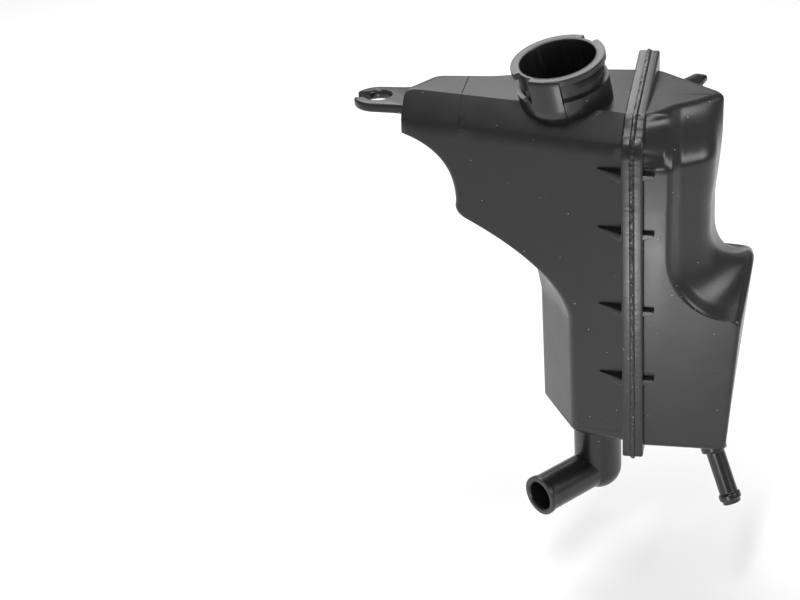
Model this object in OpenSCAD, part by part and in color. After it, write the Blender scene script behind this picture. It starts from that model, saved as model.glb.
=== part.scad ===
// Welded two-shell fluid reservoir with a filler neck, a side hook, two pegs and two hose pipes.
// The weld plane stands across X, the front faces -Y and the filler neck points up.
// All shapes are drawn from the weld plane and then set so that the lower peg's middle is the origin.

/* [Tank] */
// Height of the tank above its flange's lowest edge
tank_h = 187; // [170:1:205]
// Distance from the weld plane's middle to the front wall
front_y = 38; // [34:0.5:42]
// Distance from the weld plane's middle to the back wall
back_y = 36; // [32:0.5:40]
// Wall thickness of both shells
wall = 2.6; // [2:0.1:3.4]
// Height of the hook shell's floor above the flange's lowest edge
floor_z = 5; // [3:0.5:8]
// Fall of the tank's roof from back to front
roof_fall = 8; // [4:0.5:10]
// Height of the roof's rounded front edge
brow_h = 8; // [6.5:0.5:9.5]
// Depth of that edge beside the flange
brow_run = 18; // [14:0.5:20]
// Depth of that edge at the arm's end
arm_brow_run = 15; // [10:0.5:17]
// Radius of the other moulded edges
edge_r = 3.4; // [2.8:0.1:4]

/* [Hook side] */
// Reach of the hook shell from the weld plane to its far end
arm_reach = 121; // [112:1:130]
// Height at which the arm's end starts
arm_z = 167; // [162:1:170]
// Reach of the corner between the two hollow curves
knee_reach = 95; // [88:1:100]
// Height of that corner
knee_z = 127; // [120:1:132]
// Reach of the narrow lower body at the front
shin_reach = 33; // [30:0.5:38]
// Extra reach of the lower body at the back
shin_slant = 22; // [14:0.5:26]
// Height at which the lower body opens into the arm
shin_z = 74; // [66:1:80]

/* [Peg side] */
// Height of the peg shell's floor above the flange's lowest edge
box_floor_z = 3.5; // [2:0.5:5]
// Reach of the lower box at its floor
box_reach = 48; // [44:0.5:52]
// Growth of that reach up to the box's roof
box_flare = 11.5; // [8:0.5:13]
// Height of the box's end wall at its highest point
box_z = 103; // [97:1:107]
// Fall of its roof from there to the front panel
box_fall = 21; // [16:0.5:24]
// Reach of the recessed front above the box, beside the flat panel
recess_reach = 25; // [24:0.5:28]
// Depth of that recess behind the flat panel at its far end
recess_d = 13; // [9:0.5:16]
// Reach of the tower above the box
tower_reach = 38; // [35:0.5:41]
// Width of the flat front panel beside the flange
panel_w = 21; // [19:0.5:22]
// Height at which the tower's top block starts
block_z = 149; // [144:1:154]

/* [Weld flange] */
// Thickness of each shell's half of the flange
lip_t = 5.4; // [4.5:0.1:6]
// How far the flange stands proud of the walls
lip_proud = 4.5; // [3.5:0.1:5.5]
// Thickness of the melted bead's groove in each half
bead_t = 1.2; // [0.8:0.1:1.6]
// Depth of that groove
bead_d = 0.9; // [0.5:0.1:1.3]

/* [Filler neck] */
// Bore radius of the neck
neck_bore_r = 19; // [17:0.25:21]
// Outer radius of the neck's cap lugs
neck_lug_r = 23.8; // [23.2:0.1:26]
// Outer radius of the neck's thin upper tube
neck_tube_r = 21; // [20.8:0.1:21.6]
// Outer radius of the neck's stout lower part
neck_base_r = 23.2; // [22.6:0.1:24]
// Height of the rim above the roof, along the neck
neck_h = 26; // [22:0.5:30]
// Lean of the neck towards the hook
neck_lean = 9; // [0:0.5:12]
// Lean of the neck towards the front
neck_bow = 9; // [0:0.5:12]

/* [Hook] */
// Radius of the hook's open eye
eye_r = 6.5; // [5.5:0.1:7.5]
// Outer radius of the hook around its eye
hook_r = 12.5; // [11:0.25:14]
// Thickness of the hook's plate
hook_t = 5; // [4:0.1:6]
// Distance from the weld plane to the eye
eye_reach = 136; // [130:0.5:142]
// Width of the hook's mouth
mouth_w = 8; // [6:0.25:9]

/* [Pegs] */
// Radius of the upper peg
upper_peg_r = 4.1; // [3.6:0.05:4.6]
// Length of the upper peg without its tip
upper_peg_len = 18; // [15:0.5:22]
// Radius of the lower peg
lower_peg_r = 5; // [4.5:0.05:5.5]
// Length of the lower peg without its tip
lower_peg_len = 11; // [9:0.5:14]
// Radius of the boss that carries the lower peg
peg_boss_r = 9.5; // [8.5:0.1:10.5]
// Direction of both pegs, turned from the hook-to-box line towards the back
peg_turn = 57; // [53:0.5:61]

/* [Pipes] */
// Outer radius of the suction pipe
pipe_r = 10.4; // [9.5:0.1:11.5]
// Bore radius of the suction pipe
pipe_bore_r = 8; // [7.2:0.1:8.6]
// Outer radius of the stub that drops from the floor
stub_r = 13; // [12.2:0.1:14]
// Depth of the elbow's centre below the flange's lowest edge
elbow_drop = 31; // [28:0.5:36]
// Length of the suction pipe from the elbow's centre
pipe_len = 44; // [40:0.5:50]
// Outer radius of the return nipple
nipple_r = 5; // [4.4:0.1:5.4]
// Bore radius of the return nipple
nipple_bore_r = 3; // [2.4:0.1:3.4]
// Length of the return nipple
nipple_len = 39; // [34:0.5:44]

/* [Filter] */
// Height of the filter frame
filter_h = 104; // [90:1:110]
// Thickness of the filter frame
frame_t = 3; // [2.4:0.1:3.4]
// Width of the frame's bars
bar_w = 3.2; // [2.6:0.1:4]
// Thickness of the filter mesh
mesh_t = 0.8; // [0.6:0.1:1]
// Free space around pieces that slide into place
fit_gap = 0.25; // [0.15:0.05:0.35]

/* [Hidden] */
moulding = [0.17, 0.17, 0.175];
frame_tone = [0.86, 0.85, 0.8];
mesh_tone = [0.72, 0.72, 0.7];
$fn = 64;
// Points on each rounded corner and rings on each curve
corner_steps = 5;
curve_steps = 6;
overrun = 1;
// Corner radii in plan
soft_r = 5;
wide_r = 6;

// Share of the way from a to b, kept from 0 to 1, and the same eased
function part(v, a, b) = min(1, max(0, (v - a) / (b - a)));
function ease(t) = t * t * (3 - 2 * t);
function mix(a, b, t) = a + (b - a) * t;
function unit(v) = v / norm(v);
function inward(v) = [-v[1], v[0]] / norm(v);

// Closed outline, counter-clockwise, with the wall after corner i moved inwards by d[i]
function inset(outline, d) = let(n = len(outline)) [for (i = [0 : n - 1])
    let(b = outline[i],
        m = inward(b - outline[(i + n - 1) % n]),
        k = inward(outline[(i + 1) % n] - b),
        dm = d[(i + n - 1) % n],
        dk = d[i],
        det = m[0] * k[1] - m[1] * k[0])
    abs(det) < 0.02 ? b + m * dm : b + [dm * k[1] - dk * m[1], dk * m[0] - dm * k[0]] / det];

// The same outline with each corner i swept round over r[i] on both sides
function soften(outline, r) = let(n = len(outline)) [for (i = [0 : n - 1])
    let(b = outline[i],
        p = b + unit(outline[(i + n - 1) % n] - b) * r[i],
        q = b + unit(outline[(i + 1) % n] - b) * r[i])
    for (s = [0 : r[i] > 0 ? corner_steps : 0])
        let(t = r[i] > 0 ? s / corner_steps : 0)
        p * (1 - t) * (1 - t) + b * 2 * t * (1 - t) + q * t * t];

// Skin through a stack of rings that all have the same number of points, capped with two fans
function centre(ring) = [for (i = [0 : len(ring) - 1]) 1] * ring / len(ring);
module stack(rings) {
    n = len(rings[0]);
    last = (len(rings) - 1) * n;
    low = len(rings) * n;
    polyhedron(
        points = concat([for (ring = rings) each ring], [centre(rings[0]), centre(rings[len(rings) - 1])]),
        faces = [
            for (k = [0 : len(rings) - 2]) for (i = [0 : n - 1]) let(j = (i + 1) % n)
                each [[k * n + i, k * n + n + i, k * n + n + j], [k * n + i, k * n + n + j, k * n + j]],
            for (i = [0 : n - 1]) let(j = (i + 1) % n) each [[i, j, low], [last + j, last + i, low + 1]]],
        convexity = 8);
}

// How far an edge of radius r draws in at height z under a roof, and above a floor
function draw_in(z, top, r) = z <= top - r ? 0 : r - sqrt(max(0, r * r - pow(z - top + r, 2)));
function tuck_in(z, base, r) = z >= base + r ? 0 : r - sqrt(max(0, r * r - pow(base + r - z, 2)));
// Heights of the rings on a rounded edge, as shares of its radius
edge_shares = [0, 0.134, 0.5, 1];
roof_shares = [1, 0.617, 0.293, 0.076, 0];
// Radii of the edges of a skin that lies d inside the outer one
function edge_at(d) = edge_r - 0.6 * d;
function brow_at(d) = brow_h - d;
// How far the roof's front edge, run deep, draws in at height z on the skin that lies d inside
function brow_in(z, d, run) = draw_in(z, tank_h - d, brow_at(d)) * (run - d) / brow_at(d);

// Curve from a to b, pulled towards c; its first point is left out
function sweep(a, c, b) = [for (s = [1 : curve_steps]) let(t = s / curve_steps)
    a * (1 - t) * (1 - t) + c * 2 * t * (1 - t) + b * t * t];
// Profile of [reach, height] points, moved by d towards the tank's inside; its two ends drop out
function shifted(c, d) = [for (i = [1 : len(c) - 2])
    let(m = inward(c[i] - c[i - 1]), k = inward(c[i + 1] - c[i])) c[i] + d * (m + k) / (1 + m * k)];
// Height of a point once the roof's fall is laid over the upright tank
function fallen(y, z, from_z) = z + roof_fall * part(z, from_z, tank_h) * (y - back_y) / (front_y + back_y);

// Hook shell: its end wall runs up the shin, out along the low hollow, round the knee and out again
knee_r = 5;
shin = [shin_reach, shin_z];
knee_low = [knee_reach - knee_r, knee_z - 0.58 * knee_r];
knee_high = [knee_reach - 0.3 * knee_r, knee_z + knee_r];
arm = [arm_reach, arm_z];
low_hollow = [shin_reach + knee_r, mix(shin_z, knee_z, 0.5)];
high_hollow = [knee_reach - knee_r / 2, mix(knee_z, arm_z, 0.8)];
hook_curve = concat([[shin_reach, floor_z], shin], sweep(shin, low_hollow, knee_low),
    sweep(knee_low, [knee_reach, knee_z], knee_high), sweep(knee_high, high_hollow, arm),
    [[arm_reach, tank_h]]);
function hook_profile(d) = concat(
    [for (s = edge_shares) [shin_reach - d, floor_z + d + s * edge_at(d)]],
    shifted(hook_curve, d),
    [for (s = roof_shares) [arm_reach - d, tank_h - d - s * brow_at(d)]]);

// Plan of the hook shell: the back with two soft corners, the end wall and the front.
// The shares are of the arm's reach and of the back wall's distance.
front_taper = 0.21;
upper_mid_shares = [[0.35, 0.93], [0.63, 0.58]];
lower_mid_shares = [[0.1, 0.88], [0.215, 0.7]];
shin_back_share = 0.14;
knee_back_share = 0.08;
arm_back_share = 0.57;
arm_slant = 13;
back_swell = 3.5;
function end_back(reach, z) = z < knee_z
    ? [-reach - shin_slant * (1 - ease(part(z, shin_z, knee_z))),
        back_y * mix(shin_back_share, knee_back_share, part(z, shin_z, knee_z))]
    : [arm_slant * part(z, arm_z, tank_h) - reach,
        back_y * mix(knee_back_share, arm_back_share, ease(part(z, knee_z, tank_h)))];
function mid_corner(i, z) = let(t = ease(part(z, shin_z, tank_h)),
    s = mix(lower_mid_shares[i], upper_mid_shares[i], t)) [-s[0] * arm_reach, s[1] * (back_y + back_swell * t)];
function hook_plan(reach, z, d) = let(open = d > 0 ? overrun : 0) [
    [open, back_y + back_swell * part(z, shin_z, tank_h)],
    mid_corner(0, z),
    mid_corner(1, z),
    end_back(reach, z),
    [-reach, front_taper * reach - front_y + brow_in(z, d, arm_brow_run)],
    [open, brow_in(z, d, brow_run) - front_y]];
function hook_ring(reach, z, d) = let(
    side = draw_in(z, tank_h - d, edge_at(d)) + tuck_in(z, floor_z + d, edge_at(d)),
    back = side + d,
    plan = inset(hook_plan(reach, z, d), [back, back, back, side, tuck_in(z, floor_z + d, edge_at(d)) + d, 0]))
    [for (p = soften(plan, [0, wide_r, wide_r, edge_r, edge_r, 0])) [p[0], p[1], fallen(p[1], z, shin_z)]];
module hook_skin(d) {
    stack([for (q = hook_profile(d)) hook_ring(q[0], q[1], d)]);
}

// Peg shell: the box opens out upwards, its roof sweeps in to the tower, the tower ends in a block.
// Four corners travel from the box to the tower, each up its own [reach, height] profile.
block_step = 2.5;
crown_z = 162;
box_end_y = 26;
panel_y = -front_y;
recess_y = recess_d - front_y;
step_d = 7;
box_ys = [panel_y, panel_y + step_d, 0, box_end_y];
fall_shares = [1, 0.86, 0, 0.45];
flare_shares = [0.72, 0.78, 1, 0.92];
tower_corners = [[panel_w - block_step, panel_y], [recess_reach - block_step, panel_y + step_d],
    [tower_reach - block_step / 2, recess_y + 4], [tower_reach, 9]];
crown_moves = [[-4, 21], [-1.7, 21], [-8.25, 19], [0, 0]];
scoop = [0, 1, 1, 0];
curve_hs = [34, 32, 20, 27];
corner_shares = [0.7, 0.3, 1];
curve_angles = [15, 30, 45, 60, 75, 90];
round_angles = [30, 60, 90];
box_back = [20, 30];
tower_back = [7, 39];
function box_x(z, i) = box_reach + box_flare * flare_shares[i] * part(z, 0, box_z);
function roof_z(i) = box_z - box_fall * fall_shares[i];
function tower_profile(z, narrow, i) = let(end_x = box_x(z - edge_r, i)) concat(
    [[box_x(box_floor_z, i), box_floor_z], [end_x, z - edge_r]],
    [for (a = round_angles) [end_x - edge_r * (1 - cos(a)), z - edge_r + edge_r * sin(a)]],
    [for (a = curve_angles) [mix(end_x - edge_r, narrow, sin(a)), z + curve_hs[i] * (1 - cos(a))]],
    [[narrow, block_z - edge_r], [narrow + block_step, block_z], [narrow + block_step, crown_z],
     [narrow + block_step, tank_h]]);
function peg_profile(d, i) = let(narrow = tower_corners[i][0]) concat(
    [for (s = edge_shares) let(h = box_floor_z + d + s * edge_at(d)) [box_x(h, i) - d, h]],
    shifted(tower_profile(roof_z(i), narrow, i), d),
    [for (s = roof_shares) [narrow + block_step - d, tank_h - d - s * brow_at(d)]]);
// How far along its travel each ring is
travel = concat([for (s = edge_shares) 0], [0], [for (a = round_angles) 0], [for (a = curve_angles) sin(a)],
    [1, 1, 1], [for (s = roof_shares) 1]);

// Plan of the peg shell: open side, front panel, recess, end wall and slanted back
function peg_ring(c, u, d) = let(
    z = c[3][1],
    crown = ease(part(c[0][1], crown_z, tank_h)),
    side = draw_in(z, tank_h - d, edge_at(d)) + tuck_in(z, box_floor_z + d, edge_at(d)),
    floor_in = tuck_in(z, box_floor_z + d, edge_at(d)),
    open = d > 0 ? -overrun : 0,
    raw = concat(
        [[open, back_y + back_swell * u], [open, brow_in(z, d, brow_run) - front_y]],
        [for (i = [0 : 3]) [c[i][0], mix(box_ys[i], tower_corners[i][1], u) + scoop[i] * d * u * (1 - crown)]
            + crown * crown_moves[i]],
        [mix(box_back, tower_back, u)]),
    plan = inset(raw, [0, floor_in + d, side, side, side, side + d, side + d]),
    lift = [z, c[0][1], c[0][1], c[1][1], c[2][1], z, z],
    tall = [for (i = [0 : 6]) [plan[i][0], plan[i][1], lift[i]]])
    [for (p = soften(tall, concat([0, 0], corner_shares * edge_at(d), [soft_r - d, edge_at(d)])))
        [p[0], p[1], fallen(p[1], p[2], block_z)]];
module peg_skin(d) {
    paths = [for (i = [0 : 3]) peg_profile(d, i)];
    stack([for (k = [0 : len(travel) - 1]) peg_ring([for (path = paths) path[k]], travel[k], d)]);
}

// Weld flange: [y, height] outline, with a wave over its front brow and a jog in its back
front_lip = -front_y - lip_proud;
back_lip = back_y + lip_proud;
peak_h = 8.5;
wave_run = 26.5;
wave_rise = 11.5;
wave_drop = 15.5;
jog_drop = 24;
jog_h = 7;
lip_peak = tank_h + peak_h;
wave_start = [front_lip, tank_h - wave_drop];
wave_end = wave_start + [wave_run, wave_rise];
wave_shares = [[0, 0], [0.04, 0.25], [0.13, 0.46], [0.26, 0.58], [0.42, 0.64], [0.56, 0.71], [0.69, 0.82],
    [0.83, 0.94], [1, 1]];
jog_z = [tank_h - jog_drop, tank_h - jog_drop + jog_h];
module flange_outline() {
    polygon(concat(
        [[front_lip, 0], [back_lip, 0], [back_lip, jog_z[0]], [back_lip + back_swell, jog_z[1]],
         [back_lip + back_swell, lip_peak]],
        [for (i = [len(wave_shares) - 1 : -1 : 0]) let(s = wave_shares[i])
            [mix(wave_start[0], wave_end[0], s[0]), mix(wave_start[1], wave_end[1], s[1])]]));
}
// One half of the flange, standing from the weld plane; side is 1 or -1
module flange(side) {
    rotate([90, 0, 90]) translate([0, 0, side > 0 ? 0 : -lip_t]) linear_extrude(lip_t) flange_outline();
    rotate([90, 0, 90]) translate([0, 0, side > 0 ? 0 : -bead_t]) linear_extrude(bead_t)
        offset(delta = bead_d) flange_outline();
}
// Small webs between the flange and the walls, as shares of the tank's height
web_shares = [0.24, 0.455, 0.685, 0.855];
web_t = 2.2;
web_in = 3;
hook_web_run = 13;
peg_web_run = 6;
web_out = 0.8;
module webs(side, run, square_run) {
    for (s = web_shares) translate([0, 0, s * tank_h]) linear_extrude(web_t)
        polygon([for (p = [[lip_t, front_lip + web_out], [lip_t + square_run, front_lip + web_out],
            [lip_t + run, web_in - front_y], [lip_t, web_in - front_y]]) [side * p[0], p[1]]]);
    for (s = web_shares) translate([0, 0, s * tank_h]) linear_extrude(web_t)
        polygon([for (p = [[lip_t, back_lip - web_out], [lip_t, back_y - web_in],
            [lip_t + square_run + web_in, back_y - web_in]]) [side * p[0], p[1]]]);
}

// Filler neck, built down from its rim's centre
neck_rise = 22;
neck_rim = [-40, -9.5, tank_h + neck_rise];
lug_t = 3.4;
lug_root = 1.4;
lug_arcs = [[62, 148], [-121, 161]];
pad_arc = [-121, 39];
base_drop = 12.5;
neck_sink = 6;
module at_neck() {
    translate(neck_rim) rotate([neck_bow, -neck_lean, 0]) children();
}
module neck_sector(arc, r, low, high) {
    rotate(arc[0]) translate([0, 0, low]) rotate_extrude(angle = arc[1])
        translate([neck_bore_r + overrun, 0]) square([r - neck_bore_r - overrun, high - low]);
}
module neck_wall() {
    reach = neck_h + neck_sink;
    at_neck() {
        translate([0, 0, -reach]) cylinder(h = reach, r = neck_tube_r);
        translate([0, 0, -reach]) cylinder(h = reach - base_drop, r = neck_base_r);
        for (arc = lug_arcs) neck_sector(arc, neck_lug_r, -lug_t, 0);
        neck_sector(lug_arcs[1], neck_lug_r - lug_root, -2 * lug_t, -lug_t);
        neck_sector(pad_arc, neck_lug_r + overrun / 2, -neck_h, -overrun / 2);
    }
}
module neck_bore() {
    bore_depth = neck_h + 2 * neck_sink;
    at_neck() translate([0, 0, -bore_depth]) cylinder(h = bore_depth + overrun, r = neck_bore_r);
}

// Open hook at the arm's end
eye_y = 6;
hook_drop = 12;
hook_z = tank_h - hook_drop;
fin_t = 3;
fin_h = 8;
module hook() {
    root = eye_reach - arm_reach + soft_r;
    translate([-eye_reach, eye_y, hook_z]) difference() {
        union() {
            cylinder(h = hook_t, r = hook_r);
            translate([0, -hook_r, 0]) cube([root, 2 * hook_r, hook_t]);
            translate([eye_r, hook_r / 2, -fin_h]) cube([root - eye_r, fin_t, fin_h + overrun]);
        }
        translate([0, 0, -overrun]) cylinder(h = hook_t + 2 * overrun, r = eye_r);
        translate([-2 * hook_r, -mouth_w / 2, -overrun]) cube([2 * hook_r, mouth_w, hook_t + 2 * overrun]);
    }
}

// Suction elbow under the hook shell
stub_at = [-23.5, -5.5];
pipe_turn = 231;
pipe_lip = 0.7;
pipe_lip_len = 3;
stub_bore_r = stub_r - 2.4;
module at_elbow() {
    translate([stub_at[0], stub_at[1], -elbow_drop]) children();
}
module along(turn) {
    rotate([0, 90, turn]) children();
}
module elbow_wall() {
    at_elbow() {
        cylinder(h = elbow_drop + floor_z + wall / 2, r = stub_r);
        sphere(r = stub_r);
        along(pipe_turn) cylinder(h = pipe_len, r = pipe_r);
        along(pipe_turn) translate([0, 0, pipe_len - pipe_lip_len])
            cylinder(h = pipe_lip_len, r = pipe_r + pipe_lip);
    }
}
module elbow_bore() {
    at_elbow() {
        cylinder(h = elbow_drop + floor_z + wall + overrun, r = stub_bore_r);
        sphere(r = stub_bore_r);
        along(pipe_turn) cylinder(h = pipe_len + overrun, r = pipe_bore_r);
    }
}

// Pegs on the slanted back, each with a tip of crossed fins
peg_way = [cos(peg_turn), sin(peg_turn), 0];
lower_face = [21.5, 34, 18];
upper_drop = 12;
upper_face = [14.5, 39, tank_h - upper_drop];
upper_boss_r = 6.4;
peg_root = 12;
tip_share = 1.7;
fin_share = 0.42;
module peg(face, r, h) {
    tip = tip_share * r;
    translate(face) along(peg_turn) {
        translate([0, 0, -peg_root]) cylinder(h = peg_root + h, r = r);
        translate([0, 0, h]) intersection() {
            cylinder(h = tip, r1 = r, r2 = fin_share * r);
            union() {
                translate([-r, -fin_share * r / 2, 0]) cube([2 * r, fin_share * r, tip]);
                translate([-fin_share * r / 2, -r, 0]) cube([fin_share * r, 2 * r, tip]);
            }
        }
    }
}
module peg_bosses() {
    translate(upper_face) along(peg_turn) translate([0, 0, -peg_root]) cylinder(h = peg_root, r = upper_boss_r);
    translate(lower_face) along(peg_turn) translate([0, 0, -peg_root]) cylinder(h = peg_root, r = peg_boss_r);
}

// Return nipple under the box's front corner
nipple_base = [39, -22, 4];
nipple_turn = -45;
nipple_dip = 150;
nipple_bead = 1;
collar_r = 7;
collar_len = 9;
bead_len = 3;
bead_set = 5.5;
module at_nipple() {
    translate(nipple_base) rotate([0, nipple_dip, nipple_turn]) children();
}
module nipple_wall() {
    at_nipple() {
        cylinder(h = nipple_len, r = nipple_r);
        translate([0, 0, nipple_len - bead_set]) cylinder(h = bead_len, r = nipple_r + nipple_bead);
        cylinder(h = collar_len, r = collar_r);
    }
}
module nipple_bore() {
    at_nipple() translate([0, 0, -2 * wall]) cylinder(h = nipple_len + 3 * wall, r = nipple_bore_r);
}

// Round foot beside the flange
foot_r = 6.5;
foot_len = 8;
foot_set = 17;
module foot() {
    translate([lip_t - overrun, foot_set - front_y, foot_r - wall / 2]) rotate([0, 90, 0])
        cylinder(h = foot_len, r = foot_r);
}

// Filter frame and its mesh, standing on the box floor between rails on the front and back walls
frame_x = lip_t + 4;
frame_front_gap = 2;
frame_back_gap = 6;
frame_front = wall + frame_front_gap - front_y;
frame_back = back_y - wall - frame_back_gap;
frame_z = box_floor_z + wall;
rail_t = 1.8;
rail_w = 4.6;
rail_h = filter_h + bar_w;
mesh_bite = 1.2;
bar_shares = [0.335, 0.665];
module frame_sheet(grow, t) {
    translate([frame_x + (frame_t - t) / 2, frame_front + bar_w - grow, frame_z + bar_w - grow])
        cube([t, frame_back - frame_front - 2 * (bar_w - grow), filter_h - 2 * (bar_w - grow)]);
}
module rails() {
    for (x = [frame_x - fit_gap - rail_t, frame_x + frame_t + fit_gap]) {
        translate([x, -front_y + wall / 2, frame_z - wall / 2]) cube([rail_t, rail_w, rail_h]);
        translate([x, frame_back - rail_w / 2, frame_z - wall / 2]) cube([rail_t, back_y - frame_back, rail_h]);
    }
}

// The lower peg's middle is the origin
datum = lower_face + peg_way * lower_peg_len / 2;

module hook_shell() color(moulding) translate(-datum) difference() {
    union() {
        hook_skin(0);
        flange(-1);
        webs(-1, hook_web_run, 0);
        neck_wall();
        hook();
        elbow_wall();
    }
    hook_skin(wall);
    neck_bore();
    elbow_bore();
}

module peg_shell() color(moulding) translate(-datum) {
    difference() {
        union() {
            peg_skin(0);
            flange(1);
            webs(1, peg_web_run, peg_web_run - overrun);
            peg_bosses();
            peg(lower_face, lower_peg_r, lower_peg_len);
            peg(upper_face, upper_peg_r, upper_peg_len);
            nipple_wall();
            foot();
        }
        peg_skin(wall);
        nipple_bore();
    }
    rails();
}

module filter_frame() color(frame_tone) translate(-datum) difference() {
    frame_sheet(bar_w, frame_t);
    difference() {
        frame_sheet(0, frame_t + 2 * overrun);
        for (s = bar_shares) translate([frame_x, frame_front, frame_z + s * filter_h - bar_w / 2])
            cube([frame_t, frame_back - frame_front, bar_w]);
    }
    frame_sheet(mesh_bite, mesh_t);
}

module filter_mesh() color(mesh_tone) translate(-datum) frame_sheet(mesh_bite, mesh_t);

hook_shell();
peg_shell();
filter_frame();
filter_mesh();
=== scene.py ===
# %% [markdown]
# # A welded plastic fluid reservoir
# The tank is two injection mouldings of black polyamide, melted together along a flange. The frame
# that is loaded here has the right sizes. This lesson puts finer surfaces over it: the two tank
# halves, the welded rim, the neck, the hook and the pipes, and then a moulded-plastic finish.

# %% Load the frame and keep its box
import math

import bpy
import numpy as np
from mathutils import Matrix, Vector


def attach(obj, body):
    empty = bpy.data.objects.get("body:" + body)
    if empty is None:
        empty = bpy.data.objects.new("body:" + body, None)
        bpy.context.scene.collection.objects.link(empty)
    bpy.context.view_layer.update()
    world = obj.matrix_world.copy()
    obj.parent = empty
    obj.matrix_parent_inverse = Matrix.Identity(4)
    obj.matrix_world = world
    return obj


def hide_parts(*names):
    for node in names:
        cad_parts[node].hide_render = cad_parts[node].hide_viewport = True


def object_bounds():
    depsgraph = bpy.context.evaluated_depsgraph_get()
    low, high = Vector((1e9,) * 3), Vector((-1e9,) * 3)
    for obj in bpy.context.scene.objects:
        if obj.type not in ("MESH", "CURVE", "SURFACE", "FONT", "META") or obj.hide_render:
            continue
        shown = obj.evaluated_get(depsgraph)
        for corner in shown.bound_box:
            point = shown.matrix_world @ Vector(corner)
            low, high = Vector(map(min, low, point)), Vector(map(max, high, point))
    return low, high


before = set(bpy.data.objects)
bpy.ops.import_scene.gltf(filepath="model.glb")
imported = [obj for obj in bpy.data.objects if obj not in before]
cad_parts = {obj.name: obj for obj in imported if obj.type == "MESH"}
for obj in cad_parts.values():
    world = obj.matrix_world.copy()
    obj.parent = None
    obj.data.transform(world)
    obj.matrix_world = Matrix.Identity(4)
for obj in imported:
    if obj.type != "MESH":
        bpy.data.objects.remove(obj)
cad_low, cad_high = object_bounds()
print("frame nodes:", sorted(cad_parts))

# %% [markdown]
# ## The camera
# The product is seen from the front, a little from its right and from above. The viewing angle was
# found by fitting a camera to the flange, the neck and the hook. A long lens on a far stand keeps
# upright edges nearly parallel, as they are here. The shift moves the picture without turning it.

# %% Camera at the photograph's angle
MM = 0.001
PICTURE_W, PICTURE_H, SENSOR, FAR_CLIP = 800, 600, 36.0, 20.0
DATUM = np.array([24.4954, 38.6128, 18.0])
AIM, AZIMUTH, ELEVATION, ROLL = (-20, 0, 100), 7.58, 26.94, -0.73
DISTANCE, FOCAL_PX, CENTRE_PX = 849.5, 1623.1, (602.9, 249.7)


def metres(points):
    """Points in mm from the weld plane's foot, as metres from the lower peg's middle."""
    return (np.asarray(points, float) - DATUM) * MM


def add_camera():
    """A camera on a sphere round AIM: the position is AIM + DISTANCE * direction."""
    a, e, r = np.radians([AZIMUTH, ELEVATION, ROLL])
    out = np.array([math.sin(a) * math.cos(e), -math.cos(a) * math.cos(e), math.sin(e)])
    right = np.cross(-out, [0, 0, 1.0])
    right /= np.linalg.norm(right)
    up = np.cross(right, -out)
    turned_right = right * math.cos(r) + up * math.sin(r)
    turned_up = up * math.cos(r) - right * math.sin(r)
    lens = bpy.data.cameras.new("camera")
    lens.sensor_width = SENSOR
    lens.lens = FOCAL_PX * SENSOR / PICTURE_W
    lens.shift_x = (PICTURE_W / 2 - CENTRE_PX[0]) / PICTURE_W
    lens.shift_y = (CENTRE_PX[1] - PICTURE_H / 2) / PICTURE_W
    lens.clip_end = FAR_CLIP
    camera = bpy.data.objects.new("camera", lens)
    pose = np.eye(4)
    pose[:3, 0], pose[:3, 1], pose[:3, 2] = turned_right, turned_up, out
    pose[:3, 3] = metres(AIM) + out * DISTANCE * MM
    camera.matrix_world = Matrix(pose.tolist())
    bpy.context.scene.collection.objects.link(camera)
    bpy.context.scene.camera = camera
    return camera


lens = add_camera().data
print("lens", round(lens.lens, 1), "mm, shift", round(lens.shift_x, 3), round(lens.shift_y, 3))

# %% [markdown]
# ## Surfaces from arrays
# Each wall of a moulding is a surface over two parameters: a place on its outline and a height, or
# an angle and a place on its profile. The whole grid is worked out as one array. Its columns always
# close into rings. Its rows end in caps, or run back to the first row as a neck's wall does.

# %% Grids of points as closed meshes


def grid_faces(rows, columns, closed_rows):
    """Quads between row k and k+1 and between column i and i+1, the last column joined to the first."""
    k = np.arange(rows if closed_rows else rows - 1)[:, None]
    i = np.arange(columns)[None, :]
    j, n = (i + 1) % columns, (k + 1) % rows
    return np.stack([k * columns + i, n * columns + i, n * columns + j, k * columns + j], -1).reshape(-1, 4)


def triangles_of(grid, closed_rows):
    """Grid faces as triangles, with a fan round the middle of the first and last row unless rows close."""
    rows, columns = grid.shape[:2]
    points = grid.reshape(-1, 3)
    quads = grid_faces(rows, columns, closed_rows)
    triangles = [quads[:, [0, 1, 2]], quads[:, [0, 2, 3]]]
    if not closed_rows:
        i = np.arange(columns)
        j, low, last = (i + 1) % columns, len(points), (rows - 1) * columns
        points = np.vstack([points, grid[0].mean(0), grid[-1].mean(0)])
        triangles.append(np.stack([i, j, np.full(columns, low)], -1))
        triangles.append(np.stack([last + j, last + i, np.full(columns, low + 1)], -1))
    return points, np.concatenate(triangles)


def closed_mesh(name, grid, closed_rows=False):
    """A mesh over grid[row, column, xyz] in mm. Its volume is the sum of a.(b x c)/6; if that is
    negative the faces look inwards and are turned over."""
    points, faces = triangles_of(grid, closed_rows)
    a, b, c = (points[faces[:, q]] for q in (0, 1, 2))
    if np.einsum("ij,ij->", a, np.cross(b, c)) < 0:
        faces = faces[:, ::-1]
    mesh = bpy.data.meshes.new(name)
    mesh.from_pydata(metres(points).tolist(), [], faces.tolist())
    piece = bpy.data.objects.new(name, mesh)
    bpy.context.scene.collection.objects.link(piece)
    return piece


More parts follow.
